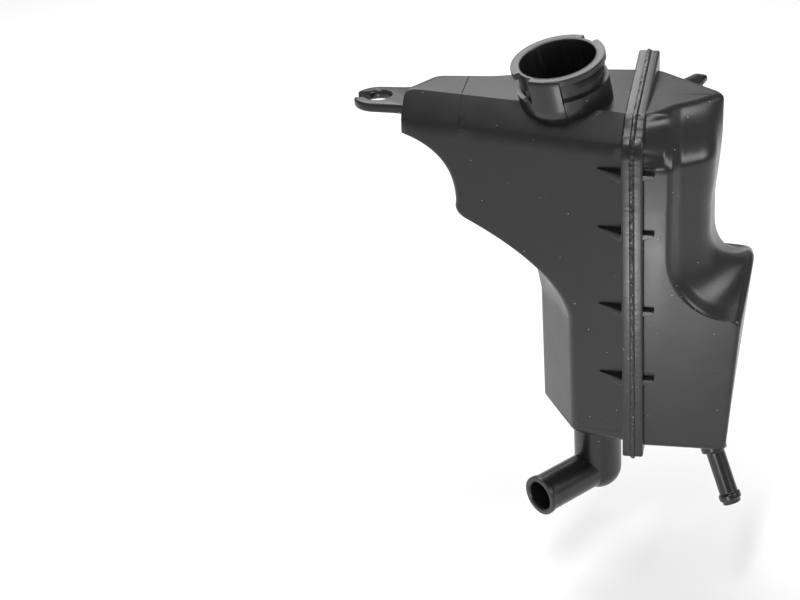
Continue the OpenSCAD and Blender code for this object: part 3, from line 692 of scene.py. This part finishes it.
stub_line = [(STUB_R, 0), (STUB_R, 20), (STUB_R + 0.2, STUB_TOP)]
stub = closed_mesh("stub", placed(turned(stub_line, 120), ELBOW_AT))
knuckle = closed_mesh("knuckle", placed(turned(ball(STUB_R), 120), ELBOW_AT))
pipe_line = filleted([
    (PIPE_R, 0), (PIPE_R, PIPE_LEN - 3.6), (PIPE_R + PIPE_LIP, PIPE_LEN - 2.8), (PIPE_R + PIPE_LIP, PIPE_LEN),
    (PIPE_BORE_R, PIPE_LEN)], [0, 0.4, 0.4, 0.6, 0])
pipe = closed_mesh("pipe", placed(turned(pipe_line), *PIPE_PLACE))
stub_bore = closed_mesh("stub bore", placed(turned([(STUB_BORE_R, 0), (STUB_BORE_R, 40)]), ELBOW_AT))
knuckle_bore = closed_mesh("knuckle bore", placed(turned(ball(STUB_BORE_R)), ELBOW_AT))
mouth_line = [(PIPE_BORE_R, 0), (PIPE_BORE_R, PIPE_LEN - 0.8), (PIPE_BORE_R + 0.8, PIPE_LEN),
              (PIPE_BORE_R + 1.8, PIPE_LEN + 1)]
pipe_bore = closed_mesh("pipe bore", placed(turned(mouth_line), *PIPE_PLACE))
print("elbow at", ELBOW_AT)

# %% [markdown]
# ## Pegs, nipple and foot
# Two pegs slide into rubber grommets. Each is a turned shaft on a boss, with a tip of two crossed
# fins. Returned fluid enters by the nipple, whose bead holds the hose, and a short round foot stands
# beside the flange. All are profiles turned about their own axes and then laid in place.

# %% Pegs, nipple and foot
PEG_TURN, LOWER_FACE, UPPER_FACE = 57.0, (21.5, 34.0, 18.0), (14.5, 39.0, TANK_H - 12)
PEG_ROOT, TIP_SHARE, FIN_SHARE, FIN_R_SHARE = -12, 1.7, 0.21, 0.985


def locating_peg(name, face, radius, length, boss_r):
    """A boss, a round shaft and a tapering tip of two crossed fins."""
    shaft = filleted([(radius, PEG_ROOT), (radius, 0), (radius, length), (radius - 0.6, length + 0.6)],
                     [0, 0, 0.3, 0])
    boss = filleted([(boss_r, PEG_ROOT), (boss_r, 0), (radius * 0.6, 0.0)], [0, 0.8, 0])
    tip, thin = TIP_SHARE * radius, FIN_SHARE * radius
    parts = [closed_mesh(name + " boss", placed(turned(boss), face, 0, 90, PEG_TURN)),
             closed_mesh(name, placed(turned(shaft), face, 0, 90, PEG_TURN))]
    levels = ((length - 2, 1.0), (length + 0.2, 1.0), (length + tip - 0.4, 0.42), (length + tip, 0.36))
    for label, wide in ((" fin", True), (" cross fin", False)):
        rows = []
        for h, grow in levels:
            r = radius * FIN_R_SHARE * grow
            x, y = (r, thin) if wide else (thin, r)
            rows.append([(-x, -y, h), (x, -y, h), (x, y, h), (-x, y, h)])
        parts.append(closed_mesh(name + label, placed(np.array(rows, float), face, 0, 90, PEG_TURN)))
    return parts


lower_peg = locating_peg("lower peg", LOWER_FACE, 5.0, 11.0, 9.5)
upper_peg = locating_peg("upper peg", UPPER_FACE, 4.1, 18.0, 6.4)

NIPPLE_R, BEAD_R, COLLAR_R, NIPPLE_BORE_R, NIPPLE_LEN = 5.0, 6.0, 7.0, 3.0, 39.0
NIPPLE_PLACE = ((39.0, -22.0, 4.0), 0, 150, -45)
nipple_line = filleted([
    (COLLAR_R + 0.2, -3), (COLLAR_R, 9), (NIPPLE_R, 9.8), (NIPPLE_R, 33.0), (BEAD_R, 33.6), (BEAD_R, 36.4),
    (5.1, 37.2), (4.8, NIPPLE_LEN), (NIPPLE_BORE_R, NIPPLE_LEN)], [0, 0.6, 0.6, 0.4, 0.5, 0.5, 0.5, 0.5, 0])
nipple = closed_mesh("nipple", placed(turned(nipple_line, 72), *NIPPLE_PLACE))
bore_line = [(NIPPLE_BORE_R, -7), (NIPPLE_BORE_R, NIPPLE_LEN - 0.4), (NIPPLE_BORE_R + 0.5, NIPPLE_LEN + 0.2),
             (NIPPLE_BORE_R + 0.9, NIPPLE_LEN + 1)]
nipple_bore = closed_mesh("nipple bore", placed(turned(bore_line, 48), *NIPPLE_PLACE))
FOOT_R, FOOT_T, FOOT_Y = 6.5, 7, 17 - FRONT_Y
foot_line = filleted([(FOOT_R, -1), (FOOT_R, FOOT_T), (4, FOOT_T)], [0, 0.8, 0])
foot = closed_mesh("foot", placed(turned(foot_line, 64), (LIP_T, FOOT_Y, FOOT_R - WALL / 2), 0, 90, 0))
print("pegs, nipple and foot ready")

# %% [markdown]
# The mould had loose inserts, and each left a hairline where it met the rest. A hairline is cut by
# a thin square tool that follows a path of points on the skin.

# %% Insert lines
HAIR_R, UPPER_X = 0.26, -89.5


def hairline(name, path):
    """A square tube round a path: each ring's corners lie HAIR_R to each side of it and above and
    below it, side being along x a fixed direction out of the skin, and lift being side x along."""
    points = filleted(path, [0] + [1.2] * (len(path) - 2) + [0], 4)
    along = np.gradient(points, axis=0)
    along /= np.linalg.norm(along, axis=1)[:, None]
    side = np.cross(along, [0.11, -0.6, 0.79])
    side /= np.linalg.norm(side, axis=1)[:, None]
    lift = np.cross(side, along)
    corners = ((1, 0), (0, 1), (-1, 0), (0, -1))
    return closed_mesh(name, np.stack([points + HAIR_R * (i * side + j * lift) for i, j in corners], 1))


def on_brow(x, t):
    """A point of the hook half's brow at x, t being the share of the brow's height."""
    return x, -FRONT_SLANT * x - FRONT_Y + ARM_BROW_RUN * t**BROW_POWER, TANK_H - BROW_H * (1 - t)


upper_line = hairline("upper line", [
    (-91.1, 23, TANK_H), (-89.6, -5.5, TANK_H), *(on_brow(UPPER_X, t) for t in (0.94, 0.7, 0.45, 0.2)),
    (-87.5, -19.6, 171.5), (-61, -25.2, 170.5), (-22, -33.4, 166.5)])
lower_line = hairline("lower line", [
    (-48, -6.5, 7.3), (-34.6, -28.5, 9.5), (-33, -31.2, 9.8), (-6, -36.8, 11.6)])
print("hairlines of", 2 * HAIR_R, "mm")

# %% [markdown]
# ## Materials
# Moulded polyamide (nylon) is a dielectric with an index near 1.53. Carbon black makes it almost
# black, and the steel of the mould leaves it satin: long soft highlights, broken up by a fine
# leathery unevenness. The screen inside is steel gauze in a frame of undyed nylon.

# %% Colour and node helpers


def linear(hex_colour):
    """An sRGB hex colour as linear RGBA: below 0.04045 v/12.92, else ((v+0.055)/1.055)^2.4."""
    value = np.array([int(hex_colour[i : i + 2], 16) for i in (0, 2, 4)]) / 255
    value = np.where(value <= 0.04045, value / 12.92, ((value + 0.055) / 1.055) ** 2.4)
    return (*map(float, value), 1.0)


def node(tree, kind, settings=(), **inputs):
    """Adds one shader node; each input is a value or the output socket of another node. A name such
    as _6 picks an input by its number."""
    new = tree.nodes.new(kind)
    for name, value in dict(settings).items():
        setattr(new, name, value)
    for name, value in inputs.items():
        key = int(name[1:]) if name[0] == "_" else name.replace("_", " ")
        if isinstance(value, bpy.types.NodeSocket):
            tree.links.new(value, new.inputs[key])
        else:
            new.inputs[key].default_value = value
    return new


def start_material(name):
    """An empty material and its surface shader."""
    material = bpy.data.materials.new(name)
    material.use_nodes = True
    tree = material.node_tree
    tree.nodes.clear()
    shader = node(tree, "ShaderNodeBsdfPrincipled")
    node(tree, "ShaderNodeOutputMaterial", Surface=shader.outputs[0])
    return material, shader


print("a middle grey of 808080 is", round(linear("808080")[0], 3), "in linear light")

# %% [markdown]
# The finish has three scales. A grain of about 0.5 mm comes from the etched mould, drawn a little
# coarser than the real one so that it shows. A slow waviness of about 16 mm is sink and uneven
# cooling. Pale specks of dust cling to the charged plastic: a speck is where a cell's centre is
# nearer than its own random radius, and only one cell in eight has one.

# %% Moulded black polyamide
SINK, GRAIN, DUST = 16 * MM, 0.5 * MM, 2.4 * MM
SINK_D, GRAIN_D, BUMP_STRENGTH = 0.4 * MM, 0.05 * MM, 0.3
CLEAN_SHARE, SPECK_SHARE = 0.87, 0.13
POLYAMIDE_IOR, SMOOTHER, ROUGHER = 1.53, 0.06, 0.08


def moulded_polyamide(name, base_hex, high_hex, rough):
    """Satin black plastic: tone and roughness wander, bumps raise the grain, and dust lies on it."""
    material, shader = start_material(name)
    tree = material.node_tree
    where = node(tree, "ShaderNodeTexCoord").outputs["Object"]
    shader.inputs["IOR"].default_value = POLYAMIDE_IOR
    slow = node(tree, "ShaderNodeTexNoise", Vector=where, Scale=1 / SINK, Detail=3.0, Roughness=0.5)
    fine = node(tree, "ShaderNodeTexNoise", Vector=where, Scale=1 / GRAIN, Detail=2.0, Roughness=0.6)
    tone = node(tree, "ShaderNodeMix", {"data_type": "RGBA"}, Factor=slow.outputs["Fac"],
                _6=linear(base_hex), _7=linear(high_hex))
    cell = node(tree, "ShaderNodeTexVoronoi", Vector=where, Scale=1 / DUST)
    chance = node(tree, "ShaderNodeSeparateColor", Color=cell.outputs["Color"])
    size = node(tree, "ShaderNodeMapRange", Value=chance.outputs[0], From_Min=CLEAN_SHARE, From_Max=1.0,
                To_Min=0.0, To_Max=SPECK_SHARE)
    near = node(tree, "ShaderNodeMath", {"operation": "LESS_THAN"}, _0=cell.outputs["Distance"],
                _1=size.outputs[0])
    dusty = node(tree, "ShaderNodeMix", {"data_type": "RGBA"}, Factor=near.outputs[0], _6=tone.outputs[2],
                 _7=linear("a9a79f"))
    tree.links.new(dusty.outputs[2], shader.inputs["Base Color"])
    satin = node(tree, "ShaderNodeMapRange", Value=slow.outputs["Fac"], To_Min=rough - SMOOTHER,
                 To_Max=rough + ROUGHER)
    tree.links.new(satin.outputs[0], shader.inputs["Roughness"])
    grain = node(tree, "ShaderNodeBump", Height=fine.outputs["Fac"], Strength=BUMP_STRENGTH, Distance=GRAIN_D)
    wave = node(tree, "ShaderNodeBump", Height=slow.outputs["Fac"], Strength=BUMP_STRENGTH, Distance=SINK_D,
                Normal=grain.outputs[0])
    tree.links.new(wave.outputs[0], shader.inputs["Normal"])
    return material


def plain_material(name, hex_colour, rough, metal=0.0):
    """One colour and one roughness."""
    material, shader = start_material(name)
    shader.inputs["Base Color"].default_value = linear(hex_colour)
    shader.inputs["Roughness"].default_value = rough
    shader.inputs["Metallic"].default_value = metal
    return material


black_polyamide = moulded_polyamide("black moulded polyamide", "111112", "1a1a1b", 0.3)
pale_polyamide = plain_material("undyed polyamide", "d6d0c0", 0.45)
steel_gauze = plain_material("steel gauze", "a6a6a2", 0.4, 1.0)
for name, finish in (("filter_frame", pale_polyamide), ("filter_mesh", steel_gauze)):
    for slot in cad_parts[name].material_slots:
        slot.material = finish
print("made", ", ".join(finish.name for finish in (black_polyamide, pale_polyamide, steel_gauze)))

# %% [markdown]
# ## Melting the parts into two mouldings
# A real moulding is one piece, so its parts are joined into one closed skin and the hollow and the
# bores are cut from it. Edges sharper than 30 degrees stay crisp, and the rest is shaded smooth.

# %% Two mouldings in place of the frame's shells
hook_parts = [hook_skin, hook_lip, *hook_webs, neck, hook_part, fin_part, stub, knuckle, pipe]
hook_cutters = [hook_hollow, neck_bore, eye_cut, mouth_cut, stub_bore, knuckle_bore, pipe_bore,
                upper_line, lower_line]
peg_parts = [peg_skin, peg_lip, *peg_webs, *lower_peg, *upper_peg, nipple, foot]
hook_shell = unite("hook_half", hook_parts, hook_cutters, black_polyamide)
peg_shell = unite("peg_half", peg_parts, [peg_hollow, nipple_bore], black_polyamide)
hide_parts("hook_shell")
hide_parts("peg_shell")

# %% [markdown]
# ## Floor and light
# A studio table in plain white. The tank hangs from its brackets in a car, so here it floats over
# the table as a cut-out product does, with only a faint shade under it. A large soft lamp stands
# behind and above, one fills from the right, and a dim world keeps the shadows open. A long strip
# over the front puts glints on curved edges, a low one brightens the panel beside the flange, and a
# wide weak one at the back edges the roof.

# %% Floor, lamps and world
FLOOR_DROP, FLOOR_HALF, WORLD_STRENGTH = 0.04, 6.0, 0.36


def floor_sheet(half, height):
    """One square in the plane z = height, from -half to half."""
    mesh = bpy.data.meshes.new("floor")
    corners = [(-half, -half, height), (half, -half, height), (half, half, height), (-half, half, height)]
    mesh.from_pydata(corners, [], [(0, 1, 2, 3)])
    sheet = bpy.data.objects.new("floor", mesh)
    bpy.context.scene.collection.objects.link(sheet)
    return sheet


floor_z = cad_low[2] - FLOOR_DROP
floor = floor_sheet(FLOOR_HALF, floor_z)
floor.data.materials.append(plain_material("white studio paper", "f4f4f4", 0.9))


def soft_lamp(name, place, aim, size, watts):
    """A lit panel, size wide and high, at place, turned so that its -Z looks at aim (in metres)."""
    light = bpy.data.lights.new(name, "AREA")
    light.shape, (light.size, light.size_y), light.energy = "RECTANGLE", size, watts
    lamp = bpy.data.objects.new(name, light)
    z = np.array(place, float) - np.array(aim, float)
    z /= np.linalg.norm(z)
    x = np.cross([0, 0, 1.0], z)
    x /= np.linalg.norm(x)
    pose = np.eye(4)
    pose[:3, 0], pose[:3, 1], pose[:3, 2], pose[:3, 3] = x, np.cross(z, x), z, place
    lamp.matrix_world = Matrix(pose.tolist())
    bpy.context.scene.collection.objects.link(lamp)
    return lamp


middle, panel_spot = metres(AIM), metres([12, -38, 150])
soft_lamp("key lamp", middle + [-0.45, 0.7, 1.1], middle, (1.2, 1.2), 16)
soft_lamp("side lamp", middle + [1.15, -0.45, 0.75], middle, (0.6, 0.6), 7)
soft_lamp("strip lamp", middle + [-0.08, -0.45, 1.05], middle, (0.09, 1.0), 6)
soft_lamp("low lamp", middle + [-0.003, -0.33, -0.128], panel_spot, (0.06, 0.05), 0.22)
soft_lamp("back panel", middle + [-0.2, 1.2, 0.75], middle, (1.6, 0.5), 0.7)
world = bpy.data.worlds.new("studio")
bpy.context.scene.world = world
world.use_nodes = True
back = world.node_tree.nodes["Background"]
back.inputs["Color"].default_value = linear("ffffff")
back.inputs["Strength"].default_value = WORLD_STRENGTH
bpy.context.scene.view_settings.view_transform = "Standard"
print("floor at z", round(floor_z / MM, 1), "mm")
